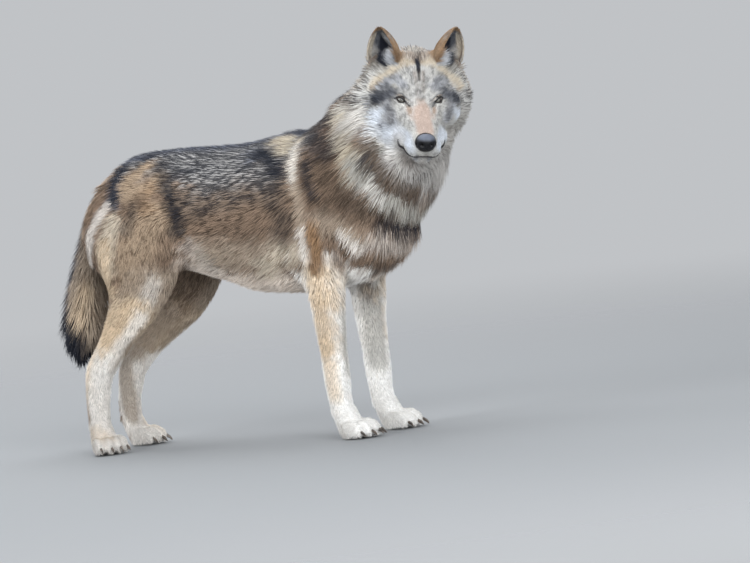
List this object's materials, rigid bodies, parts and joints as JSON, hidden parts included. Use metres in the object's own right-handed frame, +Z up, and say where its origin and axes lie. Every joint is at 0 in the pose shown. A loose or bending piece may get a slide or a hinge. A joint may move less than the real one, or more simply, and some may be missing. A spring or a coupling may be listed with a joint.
{
  "type": "timber wolf",
  "caption": "Life-size timber wolf in winter coat, standing still on four paws with ears up, tail hanging and its head turned to look over its right side.",
  "frame": {"origin": "middle of the overall outline, at the level of the prints of the four paws", "axes": "+X forward along the body, +Y to the animal's left, +Z up"},
  "size_m": [1.2174, 0.3228, 0.9716],
  "materials": {
    "coat": "thick fur, grey over tan",
    "pale_coat": "short whitish fur",
    "nose_leather": "moist dark skin",
    "eyeball": "wet, pale amber-grey iris",
    "horn": "dark worn horn"
  },
  "bodies": {
    "root": {"ear_left": "coat", "ear_right": "coat", "eye_left": "eyeball", "eye_right": "eyeball", "fore_left_claw_1": "horn", "fore_left_claw_2": "horn", "fore_left_claw_3": "horn", "fore_left_claw_4": "horn", "fore_left_paw": "pale_coat", "fore_pastern_left": "pale_coat", "fore_pastern_right": "pale_coat", "fore_right_claw_1": "horn", "fore_right_claw_2": "horn", "fore_right_claw_3": "horn", "fore_right_claw_4": "horn", "fore_right_paw": "pale_coat", "forearm_left": "coat", "forearm_right": "coat", "head": "coat", "hind_left_claw_1": "horn", "hind_left_claw_2": "horn", "hind_left_claw_3": "horn", "hind_left_claw_4": "horn", "hind_left_paw": "pale_coat", "hind_right_claw_1": "horn", "hind_right_claw_2": "horn", "hind_right_claw_3": "horn", "hind_right_claw_4": "horn", "hind_right_paw": "pale_coat", "hock_left": "pale_coat", "hock_right": "pale_coat", "lower_jaw": "pale_coat", "neck": "coat", "nose": "nose_leather", "shank_left": "coat", "shank_right": "coat", "tail": "coat", "trunk": "coat"}
  },
  "joints": []
}
